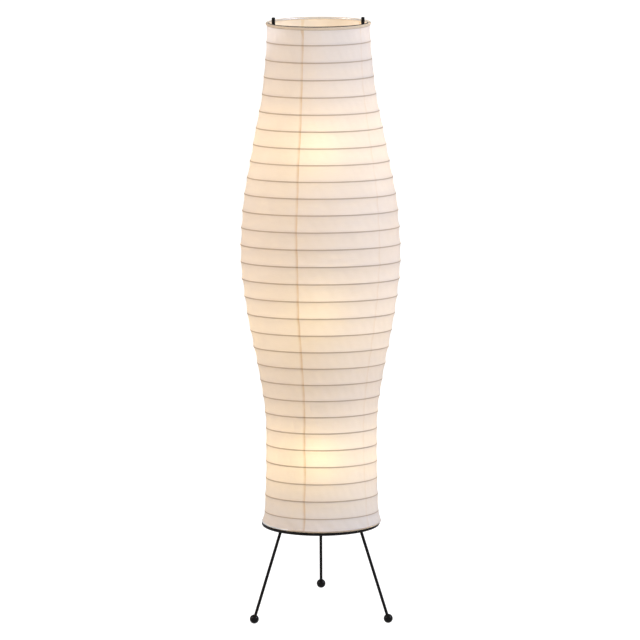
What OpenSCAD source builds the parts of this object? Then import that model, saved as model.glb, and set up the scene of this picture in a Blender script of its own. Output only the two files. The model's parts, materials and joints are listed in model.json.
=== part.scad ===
// Paper lantern floor lamp: a bottle-shaped paper shade with level hoops, hung over a tall rod frame
// that stands on three splayed legs with ball feet and carries three bulbs one above the other.
// Millimetres, +Z up. The origin is on the lamp's axis at the floor, and the front faces -Y.

/* [Feet and legs] */
// Diameter of each ball foot
ball_d = 18.5; // [14:0.5:24]
// Radius of the circle that the three balls stand on
feet_r = 188.5; // [160:0.5:230]
// Diameter of the leg rods
leg_d = 6; // [5:0.5:8]
// Angle of each front leg from straight ahead
leg_angle = 45; // [35:1:60]
// How deep a leg goes into its ball
leg_plug = 7; // [4:0.5:8]

/* [Base ring] */
// Height of the base ring's centreline above the floor
ring_z = 176.5; // [150:0.5:230]
// Radius of the base ring's centreline
ring_r = 116; // [114:0.5:118]
// Diameter of the ring's rod
ring_d = 6; // [5:0.5:8]
// Diameter of the crossbar inside the ring
crossbar_d = 5; // [4:0.5:5]

/* [Uprights] */
// Distance of each upright from the lamp's axis
upright_x = 88.5; // [82:0.5:90]
// Diameter of the upright rods
upright_d = 6; // [5:0.5:6.5]
// How far the uprights' tips stand above the shade's top hem
tip_rise = 12; // [8:0.5:20]
// Wall of the soft caps on the tips
tip_cap_t = 0.4; // [0.3:0.1:0.8]
// Length of the soft caps on the tips
tip_cap_l = 15; // [12:1:16]
// Radius of the rounding around the end of the soft caps
tip_round = 1.5; // [1:0.1:2.5]
// Diameter of the stop collar that each shade eye rests on
collar_d = 12; // [11:0.5:13]
// Height of the stop collar
collar_h = 8; // [5:1:12]

/* [Bulbs] */
// Height of the lower bulb's centre above the base ring
bulb_lower_h = 148; // [145:1:170]
// Height of the middle bulb's centre above the base ring
bulb_middle_h = 441; // [400:1:480]
// Height of the upper bulb's centre above the base ring
bulb_upper_h = 766; // [720:1:790]
// Diameter of a bulb's globe
bulb_d = 60; // [50:1:70]
// Length of a bulb from its foot contact to its top
bulb_l = 105; // [98:1:110]
// Wall of a bulb's glass
glass_t = 1; // [0.8:0.1:1.5]
// Diameter of a bulb's neck where it enters the cap
neck_d = 22; // [19:0.5:22.5]
// Diameter over the threads of a bulb's screw cap
cap_d = 26; // [25.4:0.1:28]
// Length of a bulb's screw cap with its foot contact
cap_l = 26; // [24:0.5:30]
// Depth of the thread on the screw cap
thread_depth = 1; // [0.8:0.1:1.2]
// How far the glass sits in the screw cap
neck_plug = 3; // [2:0.5:4]

/* [Lampholders] */
// Outer diameter of a lampholder
holder_d = 40; // [38:0.5:46]
// Height of a lampholder above its bracket
holder_h = 50; // [46:1:56]
// Wall of a lampholder
holder_t = 2.5; // [2:0.1:3]
// Diameter of a lampholder's foot on its bracket
holder_foot_d = 28; // [24:1:32]
// Height of the cone between a lampholder's foot and its body
holder_cone_h = 12; // [8:1:12]
// How far the lip at the mouth of a lampholder stands out
holder_lip = 1; // [0.5:0.1:2]
// Height of the lip at the mouth
holder_lip_h = 4; // [2:0.5:6]
// Room for the wires under the porcelain disc
wire_room = 10; // [9:0.5:12]
// Height of the porcelain disc inside a lampholder
disc_h = 8; // [6:0.5:9]
// Height of the centre contact on the disc
contact_h = 3; // [2:0.5:4]
// Wall of the threaded sleeve that a bulb screws into
sleeve_t = 0.5; // [0.4:0.1:0.8]
// Height of the threaded sleeve
sleeve_h = 25; // [22:0.5:26]
// Outer diameter of the threaded tube that fastens a lampholder to its bracket
nipple_d = 10; // [9.6:0.2:12]
// Bore of that tube
nipple_bore = 6.6; // [5:0.2:7.4]
// Width across the flats of the nuts on that tube
nut_af = 14; // [13:0.5:16]
// Thickness of those nuts
nut_h = 3; // [2:0.5:4]
// How far the threaded tube stands out past each nut
nipple_over = 3; // [1:0.5:4]

/* [Brackets] */
// Width of the flat bars that carry the lampholders
bracket_w = 10; // [8:0.5:12]
// Thickness of those bars
bracket_t = 3; // [2:0.5:4]
// Diameter of the round pad in the middle of each bar
pad_d = 30; // [26:1:36]

/* [Wiring] */
// Diameter of the inner leads
lead_d = 4.4; // [4:0.2:4.8]
// Radius of the bends in the leads
bend_r = 18; // [14:1:20]
// Distance between the ties along an upright
tie_step = 130; // [90:5:200]
// Width of a tie
tie_w = 4; // [3:0.5:6]
// Thickness of a tie
tie_t = 1; // [0.8:0.1:1.5]

/* [Junction box] */
// Length of the junction box, along the crossbar
box_l = 60; // [58:1:72]
// Depth of the junction box, front to back
box_w = 36; // [36:1:44]
// Height of the junction box with its lid
box_h = 24; // [22:1:26]
// Wall of the junction box
box_t = 2; // [1.5:0.1:2.5]
// Diameter of the box screws
screw_d = 3; // [2.5:0.1:3.5]
// Diameter of the posts that the lid's screws go into
post_d = 7; // [6:0.5:7]
// Length of the lid's screws under their heads
screw_l = 8; // [6:0.5:10]
// Width of the strap under the crossbar
strap_w = 12; // [10:0.5:13]
// Thickness of the strap
strap_t = 1.5; // [1:0.1:1.6]
// Bore of the bush that the supply cord comes in through
cord_bore = 7; // [6:0.1:7.4]
// Wall of the bush
bush_t = 2; // [1.5:0.1:2.2]
// Thickness of the bush's flange
bush_flange_h = 3; // [2:0.5:4]

/* [Shade] */
// Number of hoops between the two hems
hoop_count = 29; // [26:1:31]
// Distance from one hoop to the next
hoop_pitch = 33.8; // [33:0.05:35]
// Height of the paper panel below the lowest hoop
foot_panel = 21.2; // [16:0.2:26]
// Height of the paper panel above the highest hoop
top_panel = 34.8; // [28:0.1:40]
// Thickness of the hoops
hoop_d = 2; // [1.4:0.1:2.4]
// Thickness of the paper
paper_t = 0.4; // [0.3:0.05:0.6]
// How far the paper draws in between two hoops
draw_in = 1.8; // [0.4:0.1:2.4]
// Outer radius of the shade at its neck
neck_r = 103.5; // [103:0.5:110]
// Outer radius of the shade at its belly
belly_r = 160.2; // [145:0.2:170]
// Outer radius of the shade at its waist
waist_r = 112; // [108:0.5:116]
// Outer radius of the shade at its lowest hoop
foot_r = 115.2; // [111:0.2:117]
// Height of the neck above the base ring
neck_h = 999; // [940:1:1000]
// Height of the belly above the base ring
belly_h = 554; // [520:1:620]
// Height of the waist above the base ring
waist_h = 176; // [140:2:220]
// Angle of the first seam, counted from straight ahead towards the right
seam_angle = -17.5; // [-30:0.5:30]
// Angle that the lapped paper takes up beside a seam
lap_angle = 3.5; // [2:0.5:6]

/* [Hems] */
// Radius of the top hem's centreline
top_hem_r = 102; // [102:0.2:103]
// Thickness of the rolled paper at the top hem
top_hem_d = 5; // [4.4:0.2:5.6]
// Radius of the bottom hem's centreline
foot_hem_r = 117.4; // [116:0.2:119]
// Thickness of the rolled paper at the bottom hem
foot_hem_d = 4.4; // [4:0.2:6]
// Thickness of the wire inside each hem
hem_wire_d = 2.4; // [2:0.2:3]
// Thickness of the carrier wire inside the top hem
carrier_d = 3; // [2.5:0.1:3.2]
// How far the carrier wire runs above the top hem's centreline, beside the eyes
carrier_rise = 0.6; // [0:0.2:2.6]
// How far the carrier's eyes hang below the top hem's centreline
eye_drop = 5; // [4:0.5:7]
// How far the top hem leans forward on its two eyes, in degrees
hem_lean = 1; // [0:0.1:1.5]

/* [Fits] */
// Gap between pieces that rest on each other and come apart
rest_gap = 0.3; // [0.2:0.05:0.4]
// Gap between pieces that are fastened together
fit_gap = 0.05; // [0.02:0.01:0.1]
// Play of a shade eye around an upright's cap
eye_play = 0.4; // [0.3:0.1:0.8]
// Play of a bulb's thread in its sleeve
thread_play = 0.5; // [0.4:0.1:0.7]
// Play of a lead in its holes and beside its upright
lead_play = 0.2; // [0.1:0.05:0.3]

/* [Hidden] */
$fn = 96;

// Heights of the shade
foot_hem_z = ring_z + sqrt(pow((foot_hem_d + ring_d) / 2 + rest_gap, 2) - pow(foot_hem_r - ring_r, 2));
hoop_base_z = foot_hem_z + foot_panel;
hoop_top_z = hoop_base_z + (hoop_count - 1) * hoop_pitch;
top_hem_z = hoop_top_z + top_panel;
top_z = top_hem_z + tip_rise;

// The carrier wire is level. It lies against the inside of the top hem beside its eyes, which rest on
// the stop collars.
carrier_r = top_hem_r - sqrt(pow((top_hem_d + carrier_d) / 2 + fit_gap, 2) - pow(carrier_rise, 2));
carrier_z = top_hem_z + carrier_rise;
tip_cap_r = upright_d / 2 + fit_gap + tip_cap_t;
tip_inner_round = tip_round - tip_cap_t;
eye_r = tip_cap_r + eye_play + carrier_d / 2;
eye_z = top_hem_z - eye_drop;
collar_z = eye_z - carrier_d / 2 - rest_gap - collar_h;

// Lampholders stand on their brackets, and the bulbs screw into them. These heights count from the
// top of the bracket.
disc_z = holder_t + wire_room;
sleeve_z = disc_z + disc_h + fit_gap;
bulb_foot_h = disc_z + disc_h + contact_h;
bulb_centre_h = bulb_foot_h + bulb_l - bulb_d / 2;
cap_root_r = cap_d / 2 - thread_depth;
sleeve_r = cap_d / 2 + thread_play;
bracket_z = [for (h = [bulb_lower_h, bulb_middle_h, bulb_upper_h]) ring_z + h - bulb_centre_h];

// The junction box sits on the crossbar. A lead runs behind each upright.
box_z = ring_z + crossbar_d / 2 + fit_gap;
lead_z = box_z + box_h / 2;
lead_y = (upright_d + lead_d) / 2 + lead_play;
lead_end_h = disc_z - 2;
screw_x = box_l / 2 - box_t - post_d / 2 + 0.5;
screw_y = box_w / 2 - box_t - post_d / 2 + 0.5;
screw_head_d = 1.8 * screw_d;
screw_head_h = 0.55 * screw_d;
strap_r = crossbar_d / 2 + fit_gap + strap_t;
strap_screw_y = strap_r + screw_head_d / 2 + 0.6;
strap_reach = strap_screw_y + screw_d / 2 + 2;
bush_r = cord_bore / 2 + bush_t;
bush_flange_r = bush_r + 1.5;
bush_x = -(strap_w / 2 + bush_flange_r + 1);
bush_y = crossbar_d / 2 + bush_flange_r + 0.4;

// Colours as the photograph shows them
BLACK = [0.04, 0.04, 0.045];
PAPER = [0.95, 0.91, 0.84];
BAMBOO = [0.80, 0.70, 0.54];
BRASS = [0.80, 0.66, 0.36];
STEEL = [0.66, 0.67, 0.69];
PORCELAIN = [0.94, 0.93, 0.90];
GLASS = [1.00, 0.97, 0.90];

// --- helpers -----------------------------------------------------------------------------------

// Stands its children, which rise along the Z axis, at point p so that they point to q.
module pointing(p, q) {
    v = q - p;
    translate(p)
        rotate([0, acos(v.z / norm(v)), atan2(v.y, v.x)])
            children();
}

// A rod from point p to point q.
module rod(p, q, d) {
    pointing(p, q)
        cylinder(h = norm(q - p), d = d);
}

// The outline of a rod whose end has a rounded edge, for turning around the Z axis.
module rounded_end(r, reach, edge) {
    square([r, reach - edge]);
    square([r - edge, reach]);
    translate([r - edge, reach - edge])
        intersection() {
            square(edge);
            circle(r = edge, $fn = 64);
        }
}

// A level ring of round wire.
module wire_ring(r, z, d, angle = 360) {
    translate([0, 0, z])
        rotate_extrude(angle = angle, $fn = 192)
            translate([r, 0])
                circle(d = d, $fn = 48);
}

// A hexagonal nut on the Z axis.
module hex_nut(af, h, bore) {
    difference() {
        cylinder(h = h, d = af / cos(30), $fn = 6);
        translate([0, 0, -1])
            cylinder(h = h + 2, d = bore);
    }
}

// Eases from 0 to 1 along half a cosine wave.
function ease(u) = (1 - cos(180 * u)) / 2;

// Outer radius of the shade at a height above the base ring, as the hoops set it.
function shade_r(h) =
    h >= neck_h ? neck_r :
    h >= belly_h ? belly_r + (neck_r - belly_r) * ease((h - belly_h) / (neck_h - belly_h)) :
    h >= waist_h ? waist_r + (belly_r - waist_r) * ease((h - waist_h) / (belly_h - waist_h)) :
    waist_r + (foot_r - waist_r) * pow((waist_h - h) / (waist_h - hoop_base_z + ring_z), 2);

// The five gores fill the whole turn.
gore_count = 5;
gore_angle = 360 / gore_count;

// Hoop i, counted from the bottom.
function hoop_z(i) = hoop_base_z + i * hoop_pitch;
function hoop_outer(i) = shade_r(hoop_z(i) - ring_z);

// The paper's outer line, from the bottom hem up to the top hem. Between two hoops it draws in.
paper_foot_z = foot_hem_z + foot_hem_d / 2 + fit_gap;
paper_top_z = top_hem_z - top_hem_d / 2 - fit_gap;
paper_spare = top_hem_r * sin(hem_lean) + 0.5;
stations = concat(
    [[foot_hem_r + paper_t / 2, paper_foot_z]],
    [for (i = [0 : hoop_count - 1]) [hoop_outer(i), hoop_z(i)]],
    [[top_hem_r + paper_t / 2, paper_top_z + paper_spare]]
);
function drawn(a, b, u) = [
    a.x + (b.x - a.x) * u - draw_in * 4 * u * (1 - u),
    a.y + (b.y - a.y) * u
];
paper_line = concat(
    [for (i = [0 : len(stations) - 2], u = [0, 1/3, 2/3]) drawn(stations[i], stations[i + 1], u)],
    [stations[len(stations) - 1]]
);

// A skin of the given thickness whose outside lies a given depth inside the paper's outer line.
module skin_profile(depth, t) {
    polygon(concat(
        [for (p = paper_line) [p.x - depth, p.y]],
        [for (i = [len(paper_line) - 1 : -1 : 0]) [paper_line[i].x - depth - t, paper_line[i].y]]
    ));
}

function unit(v) = v / norm(v);

// Points along an arc in a plane.
function arc(centre, r, a0, a1, steps = 6) = [
    for (i = [0 : steps])
        let (a = a0 + (a1 - a0) * i / steps)
            [centre.x + r * cos(a), centre.y + r * sin(a)]
];

// The outline of a band around two round things that stand side by side.
function band(r, reach) = concat(
    [for (a = [-180 : 15 : 0]) [r * cos(a), r * sin(a)]],
    [for (a = [0 : 15 : 180]) [r * cos(a), reach + r * sin(a)]]
);

// A tube swept along points that never run parallel to Y.
function tangent(p, i) = unit(p[min(i + 1, len(p) - 1)] - p[max(i - 1, 0)]);
module tube(points, d, sides = 10) {
    n = len(points);
    rings = [
        for (i = [0 : n - 1])
            let (t = tangent(points, i), a = unit(cross([0, 1, 0], t)), b = cross(t, a))
                for (k = [0 : sides - 1])
                    points[i] + d / 2 * (a * cos(360 * k / sides) + b * sin(360 * k / sides))
    ];
    sides_faces = [
        for (i = [0 : n - 2], k = [0 : sides - 1])
            let (k2 = (k + 1) % sides)
                each [
                    [i * sides + k, (i + 1) * sides + k, i * sides + k2],
                    [i * sides + k2, (i + 1) * sides + k, (i + 1) * sides + k2]
                ]
    ];
    ends = [
        [for (k = [0 : sides - 1]) k],
        [for (k = [sides - 1 : -1 : 0]) (n - 1) * sides + k]
    ];
    polyhedron(points = rings, faces = concat(sides_faces, ends));
}

// --- frame -------------------------------------------------------------------------------------

module base_ring() {
    color(BLACK)
        wire_ring(ring_r, ring_z, ring_d);
}

module base_crossbar() {
    color(BLACK)
        difference() {
            rod([-ring_r, 0, ring_z], [ring_r, 0, ring_z], crossbar_d);
            wire_ring(ring_r, ring_z, ring_d + 2 * fit_gap);
        }
}

// A leg's line runs from the inside of the base ring to the middle of its ball. The angle counts
// from straight ahead, towards the right.
function leg_top(angle) = [
    (ring_r - ring_d / 2) * sin(angle),
    -(ring_r - ring_d / 2) * cos(angle),
    ring_z
];
function leg_foot(angle) = [feet_r * sin(angle), -feet_r * cos(angle), ball_d / 2];
module leg(angle) {
    line = leg_foot(angle) - leg_top(angle);
    stop = leg_foot(angle) - unit(line) * (ball_d / 2 - leg_plug);
    color(BLACK)
        difference() {
            rod(leg_top(angle), stop, leg_d);
            wire_ring(ring_r, ring_z, ring_d + 2 * fit_gap);
        }
}

module ball(angle) {
    color(BLACK)
        pointing(leg_foot(angle), leg_top(angle))
            difference() {
                sphere(d = ball_d);
                translate([0, 0, ball_d / 2 - leg_plug - 2 * fit_gap])
                    cylinder(h = ball_d, d = leg_d + 4 * fit_gap);
            }
}

module upright(side) {
    color(BLACK)
        difference() {
            translate([side * upright_x, 0, ring_z])
                rotate_extrude()
                    rounded_end(upright_d / 2, top_z - tip_cap_t - fit_gap - ring_z, tip_inner_round);
            rod([-ring_r, 0, ring_z], [ring_r, 0, ring_z], crossbar_d + 2 * fit_gap);
        }
}

module tip_cap(side) {
    color(BLACK)
        translate([side * upright_x, 0, top_z - tip_cap_l])
            rotate_extrude()
                difference() {
                    rounded_end(tip_cap_r, tip_cap_l, tip_round);
                    translate([0, -1])
                        rounded_end(upright_d / 2 + fit_gap, tip_cap_l + 1 - tip_cap_t, tip_inner_round);
                }
}

module stop_collar(side) {
    color(BLACK)
        translate([side * upright_x, 0, collar_z])
            difference() {
                cylinder(h = collar_h, d = collar_d);
                translate([0, 0, -1])
                    cylinder(h = collar_h + 2, d = upright_d + 2 * fit_gap);
            }
}

// A flat bar welded between the uprights, with a round pad for a lampholder. Its ends are notched
// for the leads that pass behind the uprights.
module bracket(top) {
    color(BLACK)
        translate([0, 0, top - bracket_t])
            difference() {
                union() {
                    translate([-upright_x, -bracket_w / 2, 0])
                        cube([2 * upright_x, bracket_w, bracket_t]);
                    cylinder(h = bracket_t, d = pad_d);
                }
                for (side = [-1, 1]) {
                    translate([side * upright_x, 0, -1])
                        cylinder(h = bracket_t + 2, d = upright_d + 2 * fit_gap);
                    translate([side * upright_x, lead_y, -1])
                        cylinder(h = bracket_t + 2, d = lead_d + 4 * lead_play);
                }
                translate([0, 0, -1])
                    cylinder(h = bracket_t + 2, d = nipple_d + 2 * fit_gap);
            }
}

// --- lampholders -------------------------------------------------------------------------------

module holder_body(z) {
    outer_r = holder_d / 2;
    foot_in_r = holder_foot_d / 2 - holder_t;
    hole_r = nipple_d / 2 + fit_gap;
    lip_z = holder_h - holder_lip_h;
    color(BLACK)
        translate([0, 0, z])
            rotate_extrude()
                polygon([
                    [hole_r, 0],
                    [holder_foot_d / 2, 0],
                    [outer_r, holder_cone_h],
                    [outer_r, lip_z - holder_lip],
                    [outer_r + holder_lip, lip_z],
                    [outer_r + holder_lip, holder_h],
                    [outer_r - holder_t, holder_h],
                    [outer_r - holder_t, disc_z],
                    [foot_in_r, holder_t],
                    [hole_r, holder_t]
                ]);
}

// The porcelain disc sits on the shoulder inside the body, with a hole for each wire.
module holder_disc(z) {
    wire_hole_d = 3;
    wire_hole_y = 10;
    color(PORCELAIN)
        translate([0, 0, z + disc_z])
            difference() {
                cylinder(h = disc_h, r = holder_d / 2 - holder_t - fit_gap);
                for (side = [-1, 1])
                    translate([0, side * wire_hole_y, -1])
                        cylinder(h = disc_h + 2, d = wire_hole_d);
            }
}

// The sleeve stands on the disc, and its open floor leaves the centre contact free.
module holder_sleeve(z) {
    floor_bore = 14;
    color(BRASS)
        translate([0, 0, z + sleeve_z])
            difference() {
                cylinder(h = sleeve_h, r = sleeve_r + sleeve_t);
                translate([0, 0, sleeve_t])
                    cylinder(h = sleeve_h, r = sleeve_r);
                translate([0, 0, -1])
                    cylinder(h = sleeve_h, d = floor_bore);
            }
}

// The centre contact is a low brass spring that the bulb's foot presses on.
module holder_contact(z) {
    plate = [10, 4, 0.6];
    pin_d = 3.6;
    color(BRASS)
        translate([0, 0, z + sleeve_z]) {
            translate([-plate.x / 2, -plate.y / 2, 0])
                cube(plate);
            cylinder(h = contact_h - rest_gap - fit_gap, d = pin_d);
        }
}

// The threaded tube and the two nuts that clamp a lampholder to its bracket
module nipple(z) {
    below = bracket_t + fit_gap + nut_h + nipple_over;
    above = holder_t + fit_gap + nut_h + nipple_over;
    color(STEEL)
        translate([0, 0, z - below])
            difference() {
                cylinder(h = below + above, d = nipple_d);
                translate([0, 0, -1])
                    cylinder(h = below + above + 2, d = nipple_bore);
            }
}

module nipple_nut_pair(z) {
    color(STEEL) {
        translate([0, 0, z - bracket_t - fit_gap - nut_h])
            hex_nut(nut_af, nut_h, nipple_d + 2 * fit_gap);
        translate([0, 0, z + holder_t + fit_gap])
            hex_nut(nut_af, nut_h, nipple_d + 2 * fit_gap);
    }
}

// --- bulbs -------------------------------------------------------------------------------------

// Outline of the glass from its foot in the cap: a straight neck that widens into a round globe.
function glass_line(r, neck, foot) =
    let (start = bulb_foot_h + cap_l + 2, join = -40, join_z = bulb_centre_h + r * sin(join))
        concat(
            [[0, foot], [neck, foot], [neck, start]],
            [for (u = [0.25, 0.5, 0.75]) [neck + (r * cos(join) - neck) * ease(u),
                                          start + (join_z - start) * u]],
            [for (a = [join : 10 : 80]) [r * cos(a), bulb_centre_h + r * sin(a)]],
            [[0, bulb_centre_h + r]]
        );

module bulb_glass(z) {
    foot = bulb_foot_h + cap_l - neck_plug;
    color(GLASS)
        translate([0, 0, z])
            rotate_extrude()
                difference() {
                    polygon(glass_line(bulb_d / 2, neck_d / 2, foot));
                    polygon(glass_line(bulb_d / 2 - glass_t, neck_d / 2 - glass_t, foot + glass_t));
                }
}

// The screw cap has a foot contact, a cone and rounded threads.
module bulb_cap(z) {
    turns = 5;
    cone_h = 6;
    thread_pitch = (cap_l - cone_h - 2) / turns;
    color(STEEL)
        translate([0, 0, z + bulb_foot_h])
            rotate_extrude()
                difference() {
                    union() {
                        polygon([
                            [0, 0], [4, 0], [5, 1.5],
                            [cap_root_r, cone_h], [cap_root_r, cap_l], [0, cap_l]
                        ]);
                        for (i = [0 : turns - 1])
                            translate([cap_root_r, cone_h + 1.5 + i * thread_pitch])
                                circle(r = thread_depth, $fn = 24);
                    }
                    translate([0, cap_l - neck_plug - fit_gap])
                        square([neck_d / 2 + fit_gap, neck_plug + 1]);
                }
}

// --- wiring ------------------------------------------------------------------------------------

// How far behind the crossbar and brackets a lead lies, at a distance x from the lamp's axis. The
// lead is on the middle line at the junction box, and behind the upright further out.
shift_from = box_l / 2 + 4;
shift_to = upright_x - 4;
function lead_shift(x) = lead_y * ease(min(max((x - shift_from) / (shift_to - shift_from), 0), 1));

// A lead leaves the end of the junction box, climbs behind an upright, comes in under a bracket,
// makes a loop below it and goes up through the threaded tube.
module lead_to_bracket(side, bracket_top) {
    high = bracket_top - bracket_t - lead_play - lead_d / 2;
    out_x = upright_x - bend_r;
    line = concat(
        [[box_l / 2 - 12, lead_z], [shift_from, lead_z]],
        [for (x = [shift_from + 8 : 8 : out_x - 1]) [x, lead_z]],
        arc([out_x, lead_z + bend_r], bend_r, -90, 0),
        arc([out_x, high - bend_r], bend_r, 0, 90),
        arc([3 * bend_r, high - bend_r], bend_r, 90, 180),
        arc([bend_r, high - bend_r], bend_r, -15, -180, 10),
        [[0, bracket_top + lead_end_h]]
    );
    color(BLACK)
        tube([for (p = line) [side * p.x, lead_shift(p.x), p.y]], lead_d);
}

module lead_lower() {
    color(BLACK)
        tube([
            [0, 0, lead_z],
            [0, 0, box_z + box_h],
            [0, 0, bracket_z[0]],
            [0, 0, bracket_z[0] + lead_end_h]
        ], lead_d);
}

// A band around an upright and the lead behind it.
module tie(side, z) {
    in_r = upright_d / 2 + lead_play;
    translate([side * upright_x, 0, z])
        linear_extrude(tie_w)
            difference() {
                polygon(band(in_r + tie_t, lead_y));
                polygon(band(in_r, lead_y));
            }
}

// Ties stand at even steps, and leave out the places where a bracket is.
module lead_ties() {
    first = lead_z + bend_r + 30;
    free = 15;
    color(BLACK)
        for (side = [-1, 1])
            let (last = side < 0 ? bracket_z[1] : bracket_z[2])
                for (z = [first : tie_step : last - bracket_t - bend_r - free])
                    if (abs(z - bracket_z[0]) > free && abs(z - bracket_z[1]) > free)
                        tie(side, z);
}

// --- junction box ------------------------------------------------------------------------------

module four_corners() {
    for (x = [-1, 1], y = [-1, 1])
        translate([x * screw_x, y * screw_y, 0])
            children();
}

module junction_box() {
    deep = box_h - box_t;
    color(BLACK)
        translate([0, 0, box_z])
            difference() {
                translate([-box_l / 2, -box_w / 2, 0])
                    cube([box_l, box_w, deep]);
                difference() {
                    translate([-box_l / 2 + box_t, -box_w / 2 + box_t, box_t])
                        cube([box_l - 2 * box_t, box_w - 2 * box_t, box_h]);
                    four_corners()
                        cylinder(h = box_h, d = post_d);
                }
                translate([0, 0, deep - screw_l - 1])
                    four_corners()
                        cylinder(h = screw_l + 2, d = screw_d);
                translate([-box_l / 2 - 1, 0, box_h / 2])
                    rotate([0, 90, 0])
                        cylinder(h = box_l + 2, d = lead_d + 2 * lead_play);
                translate([bush_x, bush_y, -1])
                    cylinder(h = box_t + 2, r = bush_r + fit_gap);
                for (side = [-1, 1])
                    translate([0, side * strap_screw_y, -1])
                        cylinder(h = box_t + 2, d = screw_d);
            }
}

module junction_lid() {
    color(BLACK)
        translate([0, 0, box_z + box_h - box_t + fit_gap])
            difference() {
                translate([-box_l / 2, -box_w / 2, 0])
                    cube([box_l, box_w, box_t]);
                translate([0, 0, -1])
                    four_corners()
                        cylinder(h = box_t + 2, d = screw_d + 2 * fit_gap);
                translate([0, 0, -1])
                    cylinder(h = box_t + 2, d = lead_d + 2 * lead_play);
            }
}

// A three-way block on the floor of the box.
module terminal_block() {
    block = [26, 9, 7];
    block_floor = 2;
    way_d = 4;
    color(PORCELAIN)
        translate([0, 2 - block.y / 2 - screw_d, box_z + box_t + fit_gap])
            difference() {
                translate([-block.x / 2, -block.y / 2, 0])
                    cube(block);
                for (i = [-1 : 1])
                    translate([i * block.x / 3, 0, block_floor])
                        cylinder(h = block.z, d = way_d);
            }
}

// A saddle under the crossbar that holds the box down on it.
module box_strap() {
    color(STEEL)
        translate([-strap_w / 2, 0, 0])
            difference() {
                union() {
                    translate([0, 0, ring_z])
                        rotate([0, 90, 0])
                            cylinder(h = strap_w, r = strap_r);
                    translate([0, -strap_reach, box_z - fit_gap - strap_t])
                        cube([strap_w, 2 * strap_reach, strap_t]);
                }
                translate([-1, 0, ring_z])
                    rotate([0, 90, 0])
                        cylinder(h = strap_w + 2, r = crossbar_d / 2 + fit_gap);
                translate([-1, -strap_reach - 1, box_z - fit_gap])
                    cube([strap_w + 2, 2 * strap_reach + 2, 2 * strap_r]);
                for (side = [-1, 1])
                    translate([strap_w / 2, side * strap_screw_y, ring_z])
                        cylinder(h = strap_r + 2, d = screw_d + 2 * fit_gap);
            }
}

module screw(reach) {
    cylinder(h = reach, d = screw_d - 2 * fit_gap);
    translate([0, 0, reach])
        cylinder(h = screw_head_h, d = screw_head_d);
}

module box_screws() {
    color(STEEL) {
        translate([0, 0, box_z + box_h + 2 * fit_gap - screw_l])
            four_corners()
                screw(screw_l);
        for (side = [-1, 1])
            translate([0, side * strap_screw_y, box_z + box_t - fit_gap])
                rotate([180, 0, 0])
                    screw(box_t + strap_t + fit_gap);
    }
}

// The bush in the floor of the box that the supply cord comes in through.
module cord_bush() {
    bush_in = 2;
    color(BLACK)
        translate([bush_x, bush_y, box_z - fit_gap - bush_flange_h])
            difference() {
                union() {
                    cylinder(h = bush_flange_h, r = bush_flange_r);
                    cylinder(h = bush_flange_h + fit_gap + box_t + bush_in, r = bush_r);
                }
                translate([0, 0, -1])
                    cylinder(h = bush_flange_h + box_t + bush_in + 3, d = cord_bore);
            }
}

// --- shade -------------------------------------------------------------------------------------

// Turns its children about the line between the two eyes, so that their front comes down.
module leaning() {
    translate([0, 0, top_hem_z])
        rotate([hem_lean, 0, 0])
            translate([0, 0, -top_hem_z])
                children();
}

// Cuts the paper off along the underside of the leaning top hem.
module cut_under_hem() {
    reach = belly_r;
    difference() {
        children();
        leaning()
            translate([-reach, -reach, paper_top_z])
                cube([2 * reach, 2 * reach, 4 * paper_spare]);
    }
}

// Half a ring of wire around the front, whose ends step down to an eye around each upright. The steps
// are a touch thinner, so that their ends lie inside the rounds that they join.
module shade_carrier() {
    step_d = carrier_d - 2 * fit_gap;
    color(BLACK)
        union() {
            rotate([0, 0, 180])
                wire_ring(carrier_r, carrier_z, carrier_d, 180);
            for (side = [-1, 1]) {
                translate([side * carrier_r, 0, carrier_z])
                    sphere(d = carrier_d, $fn = 48);
                rod([side * carrier_r, 0, carrier_z], [side * (upright_x + eye_r), 0, eye_z], step_d);
                translate([side * upright_x, 0, 0])
                    wire_ring(eye_r, eye_z, carrier_d);
            }
        }
}

module hem(r, z, d) {
    color(PAPER)
        difference() {
            wire_ring(r, z, d);
            wire_ring(r, z, hem_wire_d + 2 * fit_gap);
        }
}

module hem_wire(r, z) {
    color(STEEL)
        wire_ring(r, z, hem_wire_d);
}

// The hoops lie inside the paper, and inside the laps beside the seams.
module hoops(first, last) {
    color(BAMBOO)
        for (i = [first : last])
            wire_ring(hoop_outer(i) - 2 * paper_t - 4 * fit_gap - hoop_d / 2, hoop_z(i), hoop_d);
}

module gore(k) {
    color(PAPER)
        cut_under_hem()
            rotate([0, 0, seam_angle - 90 + k * gore_angle])
                rotate_extrude(angle = gore_angle, $fn = 192)
                    skin_profile(0, paper_t);
}

module seam_laps() {
    color(PAPER)
        for (k = [0 : gore_count - 1])
            cut_under_hem()
                rotate([0, 0, seam_angle - 90 + k * gore_angle])
                    rotate_extrude(angle = lap_angle, $fn = 192)
                        skin_profile(paper_t + 2 * fit_gap, paper_t);
}

belly_first = ceil(hoop_count / 3);
neck_first = ceil(2 * hoop_count / 3);

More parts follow.
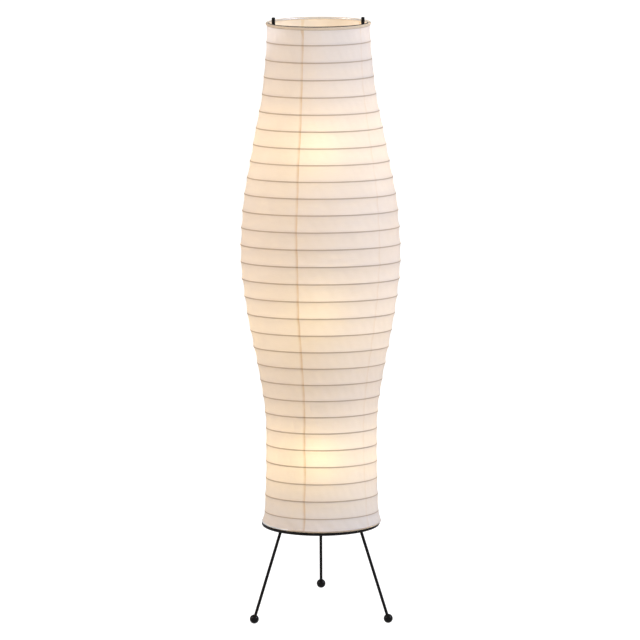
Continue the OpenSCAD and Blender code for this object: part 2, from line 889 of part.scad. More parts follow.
base_ring();
base_crossbar();
leg(-leg_angle);  // leg_front_left
leg(leg_angle);  // leg_front_right
leg(180);  // leg_back
ball(-leg_angle);  // ball_front_left
ball(leg_angle);  // ball_front_right
ball(180);  // ball_back
upright(-1);  // upright_left
upright(1);  // upright_right
tip_cap(-1);  // tip_cap_left
tip_cap(1);  // tip_cap_right
stop_collar(-1);  // stop_collar_left
stop_collar(1);  // stop_collar_right
bracket(bracket_z[0]);  // bracket_lower
bracket(bracket_z[1]);  // bracket_middle
bracket(bracket_z[2]);  // bracket_upper
holder_body(bracket_z[0]);  // holder_body_lower
holder_body(bracket_z[1]);  // holder_body_middle
holder_body(bracket_z[2]);  // holder_body_upper
holder_disc(bracket_z[0]);  // holder_disc_lower
holder_disc(bracket_z[1]);  // holder_disc_middle
holder_disc(bracket_z[2]);  // holder_disc_upper
holder_sleeve(bracket_z[0]);  // holder_sleeve_lower
holder_sleeve(bracket_z[1]);  // holder_sleeve_middle
holder_sleeve(bracket_z[2]);  // holder_sleeve_upper
for (z = bracket_z) holder_contact(z);  // holder_contacts
for (z = bracket_z) nipple(z);  // nipples
for (z = bracket_z) nipple_nut_pair(z);  // nipple_nuts
junction_box();
junction_lid();
terminal_block();
box_strap();
box_screws();
cord_bush();
lead_lower();
lead_to_bracket(-1, bracket_z[1]);  // lead_middle
lead_to_bracket(1, bracket_z[2]);  // lead_upper
lead_ties();
bulb_glass(bracket_z[0]);  // bulb_glass_lower
bulb_glass(bracket_z[1]);  // bulb_glass_middle
bulb_glass(bracket_z[2]);  // bulb_glass_upper
bulb_cap(bracket_z[0]);  // bulb_cap_lower
bulb_cap(bracket_z[1]);  // bulb_cap_middle
bulb_cap(bracket_z[2]);  // bulb_cap_upper
shade_carrier();
leaning() hem(top_hem_r, top_hem_z, top_hem_d);  // top_hem
leaning() hem_wire(top_hem_r, top_hem_z);  // top_hem_wire
hem(foot_hem_r, foot_hem_z, foot_hem_d);  // foot_hem
hem_wire(foot_hem_r, foot_hem_z);  // foot_hem_wire
hoops(neck_first, hoop_count - 1);  // hoops_neck
hoops(belly_first, neck_first - 1);  // hoops_belly
hoops(0, belly_first - 1);  // hoops_foot
gore(0);  // gore_front
gore(1);  // gore_right
gore(2);  // gore_back_right
gore(3);  // gore_back_left
gore(4);  // gore_left
seam_laps();
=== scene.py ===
# %% [markdown]
# # A paper lantern floor lamp, lit from inside
# The frame of this lamp comes from the CAD model: a wire stand on three ball feet, two tall uprights,
# and three lampholders one above the other. This script gives every piece its finish, and makes the
# parts that CAD only blocks out: the paper shade with its hoops, seams and rolled hems. The light on
# the paper isn't painted. Three bulbs glow inside, and the paper lets their light through.

# %% Load the fixed frame
import json
import math
import random

import bpy
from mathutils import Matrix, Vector


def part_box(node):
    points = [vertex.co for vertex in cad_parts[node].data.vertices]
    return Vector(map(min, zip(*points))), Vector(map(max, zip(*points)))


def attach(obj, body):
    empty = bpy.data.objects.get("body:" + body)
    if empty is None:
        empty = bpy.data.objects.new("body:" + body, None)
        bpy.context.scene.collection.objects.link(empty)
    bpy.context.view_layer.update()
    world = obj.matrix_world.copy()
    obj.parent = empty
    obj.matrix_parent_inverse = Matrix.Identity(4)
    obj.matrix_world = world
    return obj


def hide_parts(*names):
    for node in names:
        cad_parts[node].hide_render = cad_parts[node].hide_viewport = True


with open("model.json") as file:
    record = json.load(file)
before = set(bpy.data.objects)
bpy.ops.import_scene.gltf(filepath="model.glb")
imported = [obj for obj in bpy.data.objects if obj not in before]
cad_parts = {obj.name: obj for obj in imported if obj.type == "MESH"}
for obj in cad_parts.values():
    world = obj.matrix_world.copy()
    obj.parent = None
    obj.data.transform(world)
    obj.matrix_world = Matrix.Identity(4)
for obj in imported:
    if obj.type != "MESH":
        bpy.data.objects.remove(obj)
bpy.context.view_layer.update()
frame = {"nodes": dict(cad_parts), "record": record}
nodes = frame["nodes"]

# %% [markdown]
# The camera comes first, because everything else is judged through it. The photographer stood far back
# with a long lens and looked slightly down: the foot of the shade shows a rounder curve than its top,
# and that difference gives the distance. The picture leans by 0.3 degrees.

# %% Camera
def add_camera(side, distance, height, pitch, roll, lens):
    bpy.ops.object.camera_add(
        location=(side, -distance, height),
        rotation=(math.radians(90.0 - pitch), 0.0, 0.0),
    )
    camera = bpy.context.object
    camera.name = "photo_camera"
    camera.rotation_euler.rotate_axis("Z", math.radians(roll))
    camera.data.lens = lens
    camera.data.clip_end = 60.0
    bpy.context.scene.camera = camera
    return camera


bpy.ops.object.select_all(action="DESELECT")
camera = add_camera(side=0.0006, distance=8.4, height=1.93, pitch=9.064, roll=-0.3, lens=239.24)
print("camera at", tuple(round(c, 3) for c in camera.location))

# %% [markdown]
# Materials are node trees. Written out link by link they are hard to read, so three small classes wrap
# them. A Wire is one socket's value, and can be added and multiplied like a number. A Tree makes nodes.
# A Finish is the Tree of one material, with a Principled shader that its Wires feed.

# %% Shader helpers
class Wire:
    """One socket's value, for sums."""

    def __init__(self, tree, socket):
        self.tree, self.socket = tree, socket

    def math(self, operation, *values):
        return self.tree.node("ShaderNodeMath", {"operation": operation}, values)

    def other_output(self, output):
        """Another output of the node that this wire comes from."""
        return Wire(self.tree, self.socket.node.outputs[output])

    def __add__(self, other):
        return self.math("ADD", self, other)

    def __mul__(self, other):
        return self.math("MULTIPLY", self, other)

    def __sub__(self, other):
        return self.math("SUBTRACT", self, other)

    def __rsub__(self, other):
        return self.math("SUBTRACT", other, self)

    __radd__, __rmul__ = __add__, __mul__

    def fract(self):
        return self.math("FRACT", self)

    def least(self, other):
        return self.math("MINIMUM", self, other)

    def most(self, other):
        return self.math("MAXIMUM", self, other)

    def step(self, start, end, low=0.0, high=1.0):
        """Goes smoothly from low, at start, to high, at end."""
        return self.tree.node(
            "ShaderNodeMapRange",
            {"interpolation_type": "SMOOTHSTEP"},
            (self, start, end, low, high),
        )


class Tree:
    """A node tree and the calls that fill it."""

    def __init__(self, node_tree):
        self.nodes, self.links = node_tree.nodes, node_tree.links

    def set(self, socket, value):
        """Links a Wire to a socket, or writes a constant on it."""
        if isinstance(value, Wire):
            self.links.new(value.socket, socket)
        else:
            socket.default_value = value

    def node(self, kind, settings=None, values=(), output=0):
        new = self.nodes.new(kind)
        for key, value in (settings or {}).items():
            setattr(new, key, value)
        for key, value in values.items() if isinstance(values, dict) else enumerate(values):
            self.set(new.inputs[key], value)
        return Wire(self, new.outputs[output])


class Finish(Tree):
    """One material. Constants go on the shader's own sockets."""

    def __init__(self, name, **constants):
        self.material = bpy.data.materials.new(name)
        self.material.use_nodes = True
        super().__init__(self.material.node_tree)
        self.shader = self.nodes["Principled BSDF"]
        self.surface = self.nodes["Material Output"].inputs["Surface"]
        for socket, value in constants.items():
            self.feed(socket.replace("_", " "), value)

    def feed(self, socket, value):
        self.set(self.shader.inputs[socket], value)

    def shaded(self):
        return Wire(self, self.shader.outputs[0])

    def place(self, scale=(1.0, 1.0, 1.0), turn=(0.0, 0.0, 0.0)):
        """The piece's own coordinates, scaled and turned."""
        spot = self.node("ShaderNodeTexCoord", output="Object")
        return self.node("ShaderNodeMapping", {}, {"Vector": spot, "Scale": scale, "Rotation": turn})

    def noise(self, where, scale, detail=2.0, rough=0.5):
        values = {"Vector": where, "Scale": scale, "Detail": detail, "Roughness": rough}
        return self.node("ShaderNodeTexNoise", {}, values)

    def mix(self, share, a, b):
        """Two colours mixed. A Mix node takes colours at sockets 6 and 7, and gives one at output 2."""
        return self.node("ShaderNodeMix", {"data_type": "RGBA"}, {0: share, 6: a, 7: b}, output=2)

    def bump(self, height, distance, strength):
        values = {"Height": height, "Distance": distance, "Strength": strength}
        self.feed("Normal", self.node("ShaderNodeBump", {}, values))


def rgb(r, g, b):
    return (r, g, b, 1.0)


# %% [markdown]
# ## The paper
# Lantern paper is thin and milky. Lamps in the studio light it from outside, and the bulbs light it
# from behind. So part of its shader reflects (Principled) and part lets light through. Some of that
# light is scattered every way (Translucent), which tints it. The rest is only blurred, as by a rough
# sheet of ice (Refraction), so the paper is a little brighter where a bulb lies straight behind it.
# Along a seam two layers of paper and the glue between them let less light through. Near the top hoop
# the far wall looks golden: the back of the paper is painted golden there, a painted glow of the lit
# wall.
#
# The pattern of the shade comes from the UV map "gore": its first value is the distance to the seam in
# metres, and its second counts the hoops from below, so a hoop lies wherever it is a whole number.

# %% Paper finish
HOOPS = 29
# Over each hoop a thin brown line is painted: partly the glue along the hoop, partly painted shadow of
# the hoop.
HOOP_GLUE_AND_SHADOW_LINE = (0.018, 0.046)      # half width of the line over a hoop, in panels: all dark, and all clear
LAP_FADE = (0.0005, 0.0072)     # metres from the seam: the lap is whole, and has faded away
WEDGE = 0.007                   # width of the darker wedge of glue at the top of a seam
PAPER_DULL, PAPER_PALE = (0.85, 0.815, 0.79), (0.905, 0.88, 0.86)
# The tan is real glue along the seams and also painted shade on the lowest panel; the brown is glue and
# painted hoop shadow.
GLUE_AND_SHADE_TAN, HOOP_GLUE_AND_SHADOW_BROWN = (0.66, 0.47, 0.29), (0.36, 0.26, 0.17)
# Painted glow: the first gold tints the rolled hems, the second the far wall near the top hoop; both
# stand in for warm light from the bulbs.
HEM_GLOW_GOLD, WALL_GLOW_GOLD = (1.0, 0.86, 0.62), (0.92, 0.72, 0.43)
MILKY, TANNED, CLEAR = (0.93, 0.86, 0.77), (0.80, 0.60, 0.34), (0.97, 0.93, 0.87)
THROUGH, HEM_THROUGH = 0.50, 0.68       # share of the light that goes through
SEAM_DIMS, FOLD_AND_SHADE_DIMS, HOOP_GLUE_AND_SHADOW_DIMS, TONE_DIMS = 0.06, 0.12, 0.2, 0.05      # what each takes off that share
BLUR_SHARE, BLUR, BLUR_IOR = 0.10, 1.0, 1.45            # how much of that light is only blurred, and how


def lap_marks(f, across, hoops):
    """How strongly glue shows: along the lap, and in a wedge at its top end."""
    patchy = f.noise(f.place(scale=(8.0, 8.0, 30.0)), 1.0, 2.0).step(0.3, 0.7, 0.65, 1.1)
    lap = across.step(*LAP_FADE, 1.0, 0.0) * patchy
    above = hoops.step(HOOPS + 0.3, HOOPS + 1.0)
    wedge = (above * WEDGE - across).step(-0.0004, 0.0004) * above.step(0.0, 0.1)
    return (lap + wedge * 0.6).least(1.0)


def let_through(f, glue_and_glow):
    """The light that comes through the paper: scattered, and blurred."""
    milky = f.node("ShaderNodeBsdfTranslucent", {}, {"Color": rgb(*MILKY)})
    tanned = f.node("ShaderNodeBsdfTranslucent", {}, {"Color": rgb(*TANNED)})
    scattered = f.node("ShaderNodeMixShader", {}, (glue_and_glow, milky, tanned))
    values = {"Color": rgb(*CLEAR), "Roughness": BLUR, "IOR": BLUR_IOR}
    blurred = f.node("ShaderNodeBsdfRefraction", {}, values)
    return f.node("ShaderNodeMixShader", {}, (BLUR_SHARE, scattered, blurred))


def paper_finish(name, seams=1.0, through_share=THROUGH, painted_glow=0.0):
    """seams says how strongly the laps show: without them there is no UV map either."""
    f = Finish(name, Roughness=0.86, Specular_IOR_Level=0.25, Sheen_Weight=0.05, Sheen_Roughness=0.5)
    spot = f.place()
    cloud = f.noise(spot, 9.0, 3.0, 0.55)
    fibre = f.noise(f.place(scale=(60.0, 60.0, 420.0), turn=(0.3, 0.2, 0.0)), 1.0, 4.0, 0.65)
    speck = f.noise(spot, 260.0, 2.0, 0.6)
    tone = (cloud * 0.6 + fibre * 0.4).step(0.3, 0.7)
    colour = f.mix(tone, rgb(*PAPER_DULL), rgb(*PAPER_PALE))
    # Painted glow: a roll is tinted gold, and its light tanned, to stand in for the warm light in it.
    if painted_glow:
        colour = f.mix(painted_glow, colour, rgb(*HEM_GLOW_GOLD))
    through_share = through_share - TONE_DIMS * tone
    glue_and_glow = painted_glow * 0.3
    if seams:
        gore = f.node("ShaderNodeUVMap", {"uv_map": "gore"})
        across = f.node("ShaderNodeSeparateXYZ", {}, (gore,))
        hoops = across.other_output("Y")
        level = hoops.fract()
        # Painted hoop shadow and glue: a thin brown line over each hoop, where less light comes through.
        line = level.least(1.0 - level).step(*HOOP_GLUE_AND_SHADOW_LINE, 1.0, 0.0)
        # The lowest panel is painted tan and lets less light through: partly its paper folded over the
        # hem, partly painted shade where less light reaches the foot.
        folded_and_shaded = hoops.step(0.45, 0.95, 1.0, 0.0)
        glue_and_glow = lap_marks(f, across, hoops) * seams
        colour = f.mix(glue_and_glow * 0.4 + folded_and_shaded * 0.14, colour, rgb(*GLUE_AND_SHADE_TAN))
        colour = f.mix(line * 0.8, colour, rgb(*HOOP_GLUE_AND_SHADOW_BROWN))
        through_share = through_share - line * HOOP_GLUE_AND_SHADOW_DIMS - glue_and_glow * SEAM_DIMS - folded_and_shaded * FOLD_AND_SHADE_DIMS
        # Painted glow: the back of the paper near the top hoop is tinted golden and its light tanned,
        # for the lit far wall seen through the mouth.
        behind = f.node("ShaderNodeSeparateXYZ", {}, (spot,), output="Y").step(-0.03, 0.05)
        far_wall_glow = behind * hoops.step(HOOPS - 0.6, HOOPS + 0.3)
        colour = f.mix(far_wall_glow * 0.6, colour, rgb(*WALL_GLOW_GOLD))
        glue_and_glow = (glue_and_glow + far_wall_glow * 0.5).least(1.0)
    f.feed("Base Color", colour)
    f.bump(fibre * 0.5 + speck * 0.3 + cloud * 1.5, 0.0006, 0.5)
    skin = f.node("ShaderNodeMixShader", {}, (through_share, f.shaded(), let_through(f, glue_and_glow)))
    f.set(f.surface, skin)
    return f.material


paper = paper_finish("lantern paper")
fine_paper = paper_finish("lantern paper, faint seam", seams=0.25)
# The hems' paper carries a painted golden glow.
hem_paper = paper_finish("rolled hem paper", seams=0.0, through_share=HEM_THROUGH, painted_glow=0.6)
print("papers:", paper.name, "/", fine_paper.name, "/", hem_paper.name)

# %% [markdown]
# ## Black wire and the hidden fittings
# The wire is painted in a smooth black enamel. It has a faint orange peel, and its gloss varies a
# little along the rods. The pieces inside the shade have their own plain finishes.

# %% Other finishes
LAMP_LEVEL = 9.0                # strength of the bulbs' glow


def enamel(name, roughness, shine):
    f = Finish(name, Specular_IOR_Level=shine)
    spot = f.place()
    cloud = f.noise(spot, 14.0, 3.0)
    peel = f.noise(spot, 900.0, 2.0)
    f.feed("Base Color", f.mix(cloud, rgb(0.0035, 0.0035, 0.0038), rgb(0.006, 0.0058, 0.0055)))
    f.feed("Roughness", cloud.step(0.3, 0.7, roughness, roughness + 0.12))
    f.bump(peel + cloud, 0.00012, 0.35)
    return f.material


def moulded(name, dark, pale, roughness, shine=0.4):
    f = Finish(name, Specular_IOR_Level=shine)
    grain = f.noise(f.place(), 1400.0, 2.0)
    f.feed("Base Color", f.mix(grain, dark, pale))
    f.feed("Roughness", grain.step(0.3, 0.7, roughness, roughness + 0.15))
    f.bump(grain, 0.0001, 0.4)
    return f.material


def metal(name, dark, pale, roughness):
    f = Finish(name, Metallic=1.0)
    spot = f.place(scale=(120.0, 120.0, 1500.0))
    brushed = f.noise(spot, 1.0, 3.0)
    cloud = f.noise(f.place(), 60.0, 2.0)
    f.feed("Base Color", f.mix(cloud, dark, pale))
    f.feed("Roughness", brushed.step(0.3, 0.7, roughness, roughness + 0.14))
    f.bump(brushed, 0.00004, 0.5)
    return f.material


def porcelain_finish():
    f = Finish("porcelain", Roughness=0.22, Coat_Weight=0.3, Coat_Roughness=0.1)
    cloud = f.noise(f.place(), 90.0, 3.0)
    f.feed("Base Color", f.mix(cloud, rgb(0.78, 0.76, 0.71), rgb(0.87, 0.86, 0.82)))
    f.bump(cloud, 0.0002, 0.4)
    return f.material


def bamboo_finish():
    f = Finish("bamboo hoop", Specular_IOR_Level=0.3)
    grain = f.noise(f.place(scale=(300.0, 300.0, 40.0)), 1.0, 4.0, 0.6)
    f.feed("Base Color", f.mix(grain, rgb(0.30, 0.20, 0.11), rgb(0.52, 0.39, 0.24)))
    f.feed("Roughness", grain.step(0.3, 0.7, 0.5, 0.75))
    f.bump(grain, 0.0002, 0.6)
    return f.material


def lit_glass_finish():
    f = Finish("lit bulb glass", Roughness=0.35, Emission_Strength=LAMP_LEVEL)
    cloud = f.noise(f.place(), 55.0, 2.0)
    f.feed("Base Color", f.mix(cloud, rgb(0.90, 0.86, 0.78), rgb(0.97, 0.95, 0.90)))
    f.feed("Emission Color", f.mix(cloud, rgb(1.0, 0.75, 0.33), rgb(1.0, 0.79, 0.37)))
    return f.material


satin_black = enamel("black enamel", 0.30, 0.06)
gloss_black = enamel("glossy black balls", 0.07, 0.09)
soft_black = moulded("soft black caps", rgb(0.004, 0.004, 0.004), rgb(0.007, 0.007, 0.007), 0.6, 0.08)
black_plastic = moulded("black moulding", rgb(0.012, 0.012, 0.013), rgb(0.02, 0.02, 0.021), 0.42)
white_plastic = moulded("white terminal", rgb(0.76, 0.75, 0.71), rgb(0.84, 0.83, 0.80), 0.38)
sheath = moulded("lead sheath", rgb(0.010, 0.010, 0.011), rgb(0.018, 0.018, 0.019), 0.36)
brass = metal("brass", rgb(0.62, 0.44, 0.18), rgb(0.74, 0.56, 0.27), 0.24)
zinc = metal("zinc plated steel", rgb(0.52, 0.52, 0.53), rgb(0.66, 0.66, 0.66), 0.28)
cap_metal = metal("bulb cap", rgb(0.66, 0.65, 0.62), rgb(0.78, 0.77, 0.74), 0.3)
porcelain = porcelain_finish()
bamboo = bamboo_finish()
lit_glass = lit_glass_finish()
print("finishes so far:", len(bpy.data.materials))

# %% Give each CAD node its finish
finish_of_slot = {
    "black_steel": satin_black,
    "black_gloss": gloss_black,
    "soft_black": soft_black,
    "black_plastic": black_plastic,
    "white_plastic": white_plastic,
    "lead_sheath": sheath,
    "porcelain": porcelain,
    "brass": brass,
    "zinc_steel": zinc,
    "cap_metal": cap_metal,
    "frosted_glass": lit_glass,
    "paper": hem_paper,
    "bamboo": bamboo,
}
slot_of_node = {s["node"]: s["material_slot"] for s in frame["record"]["subparts"]}
for name, piece in nodes.items():
    piece.data.materials.clear()
    piece.data.materials.append(finish_of_slot[slot_of_node[name]])
print("finished CAD nodes:", len(slot_of_node))

# %% [markdown]
# ## The shape of the shade
# The hoops give the shade its bottle shape: a narrow neck, a belly above the middle, a waist below it
# and a small flare at the foot. The hems' places come from the CAD boxes. In the photograph the shade
# isn't quite regular: its hoops lean back by up to 3.3 degrees, most just below the belly, they drift
# up and down by up to 3 mm, and the whole bag hangs up to 3 mm to the right of its frame.

# %% Profile of the shade
HOOP_WIRE, HEM_WIRE = 0.001, 0.0012             # radii of the wires
# Height above the base ring, and radius:
NECK, BELLY, WAIST, FOOT = (0.999, 0.1035), (0.554, 0.1602), (0.176, 0.112), (0.0265, 0.1152)
LEAN_AT_FOOT, LEAN_BETWEEN = 0.030, 0.042       # radians
SLIP, SAG = 0.0022, 0.0008                      # metres, as are the next two
HANG_AT_TOP, HANG_BELOW = 0.0005, 0.0022


def ring_of(node, wire_radius):
    """Height and radius of the centreline of a ring of round wire."""
    low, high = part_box(node)
    return (low.z + high.z) / 2, (high.x - low.x) / 2 - wire_radius


ring_z = sum(corner.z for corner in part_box("base_ring")) / 2
foot_hem_z, foot_hem_r = ring_of("foot_hem_wire", HEM_WIRE)
top_hem_z, top_hem_r = ring_of("top_hem_wire", HEM_WIRE)
foot_hem_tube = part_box("foot_hem")[1].x - foot_hem_r
top_hem_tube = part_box("top_hem")[1].x - top_hem_r
first_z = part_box("hoops_foot")[0].z + HOOP_WIRE
last_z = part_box("hoops_neck")[1].z - HOOP_WIRE
print("hoops from", round(first_z, 4), "to", round(last_z, 4), "top hem at", round(top_hem_z, 4))


def ease(u):
    return (1 - math.cos(math.pi * min(max(u, 0.0), 1.0))) / 2


def between(low, high, h):
    """Radius between two stations of the profile."""
    return low[1] + (high[1] - low[1]) * ease((h - low[0]) / (high[0] - low[0]))


def shade_radius(z):
    h = z - ring_z
    if h >= BELLY[0]:
        return between(BELLY, NECK, h)
    if h >= WAIST[0]:
        return between(WAIST, BELLY, h)
    return WAIST[1] + (FOOT[1] - WAIST[1]) * ((WAIST[0] - h) / (WAIST[0] - FOOT[0])) ** 2


def down(z):
    """0 at the highest hoop, 1 at the lowest."""
    return (last_z - z) / (last_z - first_z)


def tilt_at(z):
    """How far a hoop leans back, in radians."""
    return LEAN_AT_FOOT * down(z) + LEAN_BETWEEN * math.sin(math.pi * down(z))


def drift_up(z):
    """How far a hoop has slipped up, or down where this is negative."""
    return -SLIP * math.sin(4 * math.pi * down(z)) - SAG * math.sin(math.pi * down(z))


def drift_right(z):
    """How far the bag hangs to the right of its frame."""
    return HANG_AT_TOP + HANG_BELOW * math.sin(0.8 * math.pi * min(max(down(z), 0.0), 1.0))


# %% [markdown]
# Stations run from the foot hem through every hoop to the top hem. A station knows its height, its
# radius and its lean, and hoop_point gives a point on it at an angle. The paper runs down outside the
# foot hem, and it ends under the top hem, which leans forward by one degree.

# %% Stations
HEM_LEAN = math.radians(-1.0)
SIDE_LEAN = 0.003               # most that a hoop leans to a side, in radians
WOBBLE = 0.0003                 # how far a hoop is from round
FOOT_GAP = 0.0002               # between the foot hem and the paper that runs down outside it
# Where the paper ends, below the top hem's wire and outside it, in radii of the roll:
TOP_DROP, TOP_OUT = 0.95, 0.3


def station(z, r, lean=0.0, side=0.0, phase=0.0):
    return {"z": z, "r": r, "right": drift_right(z), "lean": lean, "side": side, "phase": phase}


def hoop_station(z):
    return station(
        z + drift_up(z),
        shade_radius(z),
        tilt_at(z),
        random.uniform(-SIDE_LEAN, SIDE_LEAN),
        random.uniform(0, math.tau),
    )


random.seed(29)
pitch = (last_z - first_z) / (HOOPS - 1)
stations = (
    [station(foot_hem_z, foot_hem_r + foot_hem_tube + FOOT_GAP)]
    + [hoop_station(first_z + i * pitch) for i in range(HOOPS)]
    + [station(top_hem_z - TOP_DROP * top_hem_tube, top_hem_r + TOP_OUT * top_hem_tube, HEM_LEAN)]
)
print("stations:", len(stations))


def hoop_point(s, angle):
    """Angle 0 is the front, and it grows towards the right."""
    r = s["r"] + WOBBLE * math.sin(2 * angle + s["phase"])
    front, right = math.cos(angle), math.sin(angle)
    z = s["z"] + s["r"] * (s["lean"] * front + s["side"] * right)
    return Vector((s["right"] + r * right, -r * front, z))


# %% [markdown]
# ## Hoops
# Each hoop is a thin bent strip of bamboo. A torus primitive gives its shape, and a slight turn about
# X and Y gives its lean. The hoops of a third of the shade are joined into one piece, as in CAD.

# %% Make the hoops
UNDER_PAPER = 0.001             # how far inside the paper a hoop's outer edge lies


def clear_selection():
    bpy.ops.object.select_all(action="DESELECT")


def choose(*pieces):
    """Selects these pieces and nothing else, and makes the first of them active."""
    clear_selection()
    for piece in pieces:
        piece.select_set(True)
    bpy.context.view_layer.objects.active = pieces[0]


def settle(piece):
    """Puts the piece's place into its mesh, so that its object sits at the origin."""
    choose(piece)
    bpy.ops.object.transform_apply(location=True, rotation=True, scale=True)
    return piece


def join(pieces, name):
    choose(*pieces)
    bpy.ops.object.join()
    whole = bpy.context.object
    whole.name = name
    return settle(whole)


def wear(piece, material, smooth):
    piece.data.materials.clear()
    piece.data.materials.append(material)
    choose(piece)
    bpy.ops.object.shade_smooth_by_angle(angle=math.radians(smooth))


def add_hoop(s):
    clear_selection()
    bpy.ops.mesh.primitive_torus_add(
        location=(s["right"], 0, s["z"]),
        rotation=(-s["lean"], -s["side"], 0),
        major_radius=s["r"] - UNDER_PAPER - HOOP_WIRE,
        minor_radius=HOOP_WIRE,
        major_segments=144,
        minor_segments=8,
    )
    return bpy.context.object


groups = {"hoops_foot": stations[1:11], "hoops_belly": stations[11:21], "hoops_neck": stations[21:30]}
for group, members in groups.items():
    whole = join([add_hoop(s) for s in members], "bamboo_" + group)
    wear(whole, bamboo, 80.0)
    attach(whole, "shade")
    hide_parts(group)
    print(whole.name, len(members), "hoops")

# %% [markdown]
# ## Paper gores
# The paper is cut in five long gores and glued to the hoops. No cloth simulation is used, because paper
# this stiff hardly drapes: what shows is that it draws in between two hoops and is pinched over each
# hoop. So each gore starts as a flat grid, and its points are placed on the shade: columns go round,
# rows go up, and each panel gets its own small waves. The lowest panel is crumpled in the photograph,
# so its waves are larger and run slantwise.

# %% Points of the paper
ROWS, COLUMNS = 8, 52           # faces in a panel, upwards and across
IN_A_ROW = COLUMNS + 1          # points
SEAM, GORE = math.radians(-16.6), math.radians(72.0)        # where the first seam is, and a gore's width
SEAM_WANDER = 0.0008            # how far a seam strays to a side at a hoop
RIGHT_SEAM_BOW = math.radians(-8.0)
BOW_SPAN = 0.62 / 0.7           # half waves of the bow between the highest hoop and the lowest
SHALLOW, DEEPER = 0.0013, 0.0009
FINE_WAVE, FINER_WAVE, CRUMPLE = 0.00022, 0.00016, 0.0007
seam_shift = [[random.uniform(-SEAM_WANDER, SEAM_WANDER) for _ in stations] for _ in range(5)]


def seam_angle(k, panel, u):
    """Where seam k runs. The right one bows towards the front, most just below the belly."""
    low, high = stations[panel], stations[panel + 1]
    shift = seam_shift[k % 5][panel] * (1 - u) + seam_shift[k % 5][panel + 1] * u
    bow = RIGHT_SEAM_BOW * math.sin(BOW_SPAN * math.pi * down(low["z"])) if k % 5 == 1 else 0.0
    return SEAM + k * GORE + bow + shift / (low["r"] + (high["r"] - low["r"]) * u)


def arch(u):
    """0 at both hoops of a panel and 1 between them."""
    return 4 * u * (1 - u)


def draw_in(panel):
    """How far the paper draws in between two hoops: most half way up, least at both ends."""
    return SHALLOW + DEEPER * math.sin(math.pi * panel / HOOPS)


def waves(panel, u, angle):
    fine = FINE_WAVE * math.sin(angle * 19 + panel * 2.3)
    finer = FINER_WAVE * math.sin(angle * 43 + panel * 4.1 + u * 5)
    crumpled = CRUMPLE * math.sin(angle * 14 + u * 3.5) * math.sin(angle * 5 + 1.1)
    return arch(u) * (fine + finer + (crumpled if panel == 0 else 0.0))


def paper_point(k, row, across):
    """A point of gore k. across runs from 0 at its left seam to 1 at its right one."""
    panel, part = divmod(row, ROWS)
    if panel == len(stations) - 1:
        panel, part = panel - 1, ROWS
    low, high = stations[panel], stations[panel + 1]
    u = part / ROWS
    angle = seam_angle(k, panel, u) * (1 - across) + seam_angle(k + 1, panel, u) * across
    point = hoop_point(low, angle).lerp(hoop_point(high, angle), u)
    deep = draw_in(panel) * arch(u) ** 0.8 * (0.9 + 0.2 * math.sin(angle * 2 + panel * 1.7))
    outward = Vector((math.sin(angle), -math.cos(angle), 0))
    return point - outward * (deep + waves(panel, u, angle))


print("paper draws in by up to", round(max(draw_in(panel) for panel in range(HOOPS + 1)), 4))

# %% Make the gores
def make_gore(k, name):
    rows = (len(stations) - 1) * ROWS
    clear_selection()
    bpy.ops.mesh.primitive_grid_add(x_subdivisions=COLUMNS, y_subdivisions=rows, size=1.0)
    gore = bpy.context.object
    gore.name = name
    for v in gore.data.vertices:
        row, column = divmod(v.index, IN_A_ROW)
        v.co = paper_point(k, row, column / COLUMNS)
    return gore


def map_gore(gore):
    """The UV map holds the distance to the seam at the gore's right, and the height in hoops."""
    layer = gore.data.uv_layers.active
    layer.name = "gore"
    points = gore.data.vertices
    for loop in gore.data.loops:
        row = loop.vertex_index // IN_A_ROW
        seam_point = points[row * IN_A_ROW + COLUMNS].co
        layer.data[loop.index].uv = ((points[loop.vertex_index].co - seam_point).length, row / ROWS)


gores = {}
for k, node in enumerate(["gore_front", "gore_right", "gore_back_right", "gore_back_left", "gore_left"]):
    gore = make_gore(k, "paper_" + node)
    map_gore(gore)
    wear(gore, fine_paper if node == "gore_front" else paper, 50.0)
    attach(gore, "shade")
    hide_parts(node)
    gores[node] = gore
    print(gore.name, "points", len(gore.data.vertices))
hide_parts("seam_laps")

# %% [markdown]
# ## Rolled hems
# At each end the paper is rolled round a wire. The roll isn't closed: the strip starts against the wall
# and goes about half way round the wire, so light still gets in behind it and it glows. A torus
# primitive gives the roll. The faces on its open side are deleted, and small puckers are pushed into it.

# %% Make the hems
TOP_STRIP, FOOT_STRIP = (-72, 130), (-150, 20)      # first and last angle of the strip round the wire
PUCKER, FINE_PUCKER = 0.02, 0.015                   # in radii of the roll


def section_angle(point, r, z):
    """Where a point lies around the roll, in degrees: 0 is outwards and 90 is up."""
    return math.degrees(math.atan2(point.z - z, math.hypot(point.x, point.y) - r))


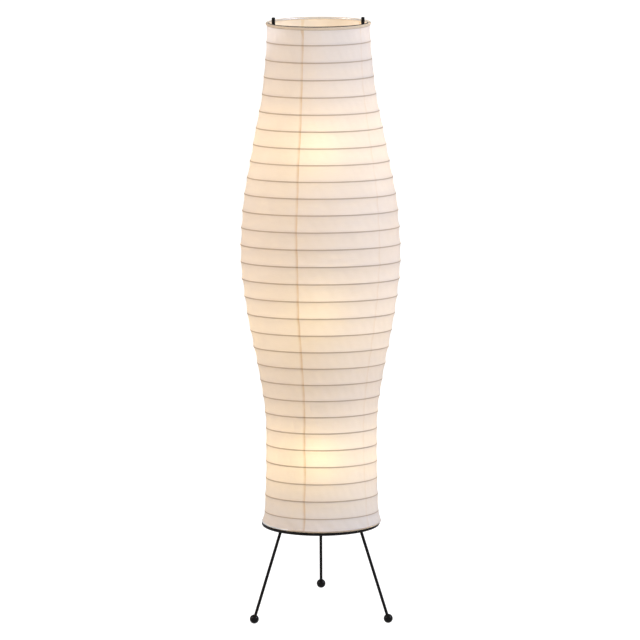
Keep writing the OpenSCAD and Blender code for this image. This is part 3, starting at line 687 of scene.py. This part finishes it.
def make_hem(name, node, ring, tube, lean, strip):
    z, r = ring
    clear_selection()
    bpy.ops.mesh.primitive_torus_add(
        location=(0, 0, z), major_radius=r, minor_radius=tube, major_segments=360, minor_segments=24
    )
    hem = settle(bpy.context.object)
    hem.name = name
    bpy.ops.object.mode_set(mode="EDIT")
    bpy.ops.mesh.select_mode(type="FACE")
    bpy.ops.mesh.select_all(action="DESELECT")
    bpy.ops.object.mode_set(mode="OBJECT")
    for face in hem.data.polygons:
        face.select = not strip[0] < section_angle(face.center, r, z) < strip[1]
    bpy.ops.object.mode_set(mode="EDIT")
    bpy.ops.mesh.delete(type="FACE")
    bpy.ops.object.mode_set(mode="OBJECT")
    print(name, "faces", len(hem.data.polygons))
    for v in hem.data.vertices:
        angle = math.atan2(v.co.x, -v.co.y)
        centre = Vector((r * math.sin(angle), -r * math.cos(angle), z))
        pucker = PUCKER * math.sin(angle * 31) + FINE_PUCKER * math.sin(angle * 83 + 1.0)
        v.co = centre + (v.co - centre) * (0.98 + pucker)
        v.co.z -= lean * v.co.y
        v.co.x += drift_right(z)
    wear(hem, hem_paper, 60.0)
    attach(hem, "shade")
    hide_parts(node)
    return hem


top_ring, foot_ring = (top_hem_z, top_hem_r), (foot_hem_z, foot_hem_r)
top_hem = make_hem("paper_top_hem", "top_hem", top_ring, top_hem_tube, HEM_LEAN, TOP_STRIP)
foot_hem = make_hem("paper_foot_hem", "foot_hem", foot_ring, foot_hem_tube, 0.0, FOOT_STRIP)

# %% [markdown]
# Each gore's flat size, the strip that it is cut from, is measured and printed: its widest row by its
# longest column, measured along the paper.

def flat_size(gore):
    points = [v.co for v in gore.data.vertices]
    rows = [points[i:i + IN_A_ROW] for i in range(0, len(points), IN_A_ROW)]
    columns = list(zip(*rows))

    def longest(lines):
        return max(sum((b - a).length for a, b in zip(line, line[1:])) for line in lines)

    return round(longest(rows), 3), round(longest(columns), 3)


for node, gore in gores.items():
    flat = flat_size(gore)
    print(gore.name, "flat size", flat)

# %% [markdown]
# ## Studio
# The background is white because the floor and the world are white to the camera, not because more
# light falls on the lamp. A cool soft lamp stands far to the right and a warm one far to the left, so
# the front of the paper is left to the bulbs. The world fills in a little.

# %% Floor and light
WORLD_LEVEL = 0.40
LAMP_MIDDLE = Vector((0, 0, 0.8))


def is_seen(tree):
    """1 for rays from the camera, from gloss and through the paper."""
    camera_ray = tree.node("ShaderNodeLightPath", output="Is Camera Ray")
    glossy_ray = camera_ray.other_output("Is Glossy Ray")
    return camera_ray.most(glossy_ray).most(camera_ray.other_output("Is Transmission Ray"))


def floor_finish():
    f = Finish("pale studio floor", Roughness=0.9, Specular_IOR_Level=0.0)
    cloud = f.noise(f.place(), 3.0, 2.0)
    f.feed("Base Color", f.mix(cloud, rgb(0.29, 0.29, 0.29), rgb(0.31, 0.31, 0.31)))
    glow = f.node("ShaderNodeEmission", {}, (rgb(1, 1, 1), is_seen(f)))
    f.set(f.surface, f.node("ShaderNodeAddShader", {}, (f.shaded(), glow)))
    return f.material


def white_world(level):
    """White where it is seen, and as bright as level where it only lights the lamp."""
    world = bpy.data.worlds.new("white studio")
    bpy.context.scene.world = world
    world.use_nodes = True
    tree = Tree(world.node_tree)
    background = tree.nodes["Background"]
    tree.set(background.inputs["Strength"], is_seen(tree).step(0.0, 1.0, level, 1.0))
    background.inputs["Color"].default_value = rgb(1, 1, 1)


def add_softbox(name, spot, power, tint):
    clear_selection()
    bpy.ops.object.light_add(type="AREA", location=spot)
    lamp = bpy.context.object
    lamp.name = name
    lamp.data.shape, lamp.data.size = "DISK", 1.0
    lamp.data.energy, lamp.data.color = power, tint
    lamp.rotation_euler = (LAMP_MIDDLE - Vector(spot)).to_track_quat("-Z", "Y").to_euler()


clear_selection()
bpy.ops.mesh.primitive_plane_add(size=60.0, location=(0, 20.0, 0))
floor = settle(bpy.context.object)
floor.name = "studio_floor"
floor.data.materials.append(floor_finish())
white_world(WORLD_LEVEL)
add_softbox("cool_softbox", spot=(3.2, -1.5, 2.4), power=109.0, tint=(0.76, 0.80, 1.0))
add_softbox("warm_softbox", spot=(-3.2, -1.5, 2.2), power=72.0, tint=(1.0, 0.77, 0.66))
bpy.context.scene.view_settings.view_transform = "Standard"
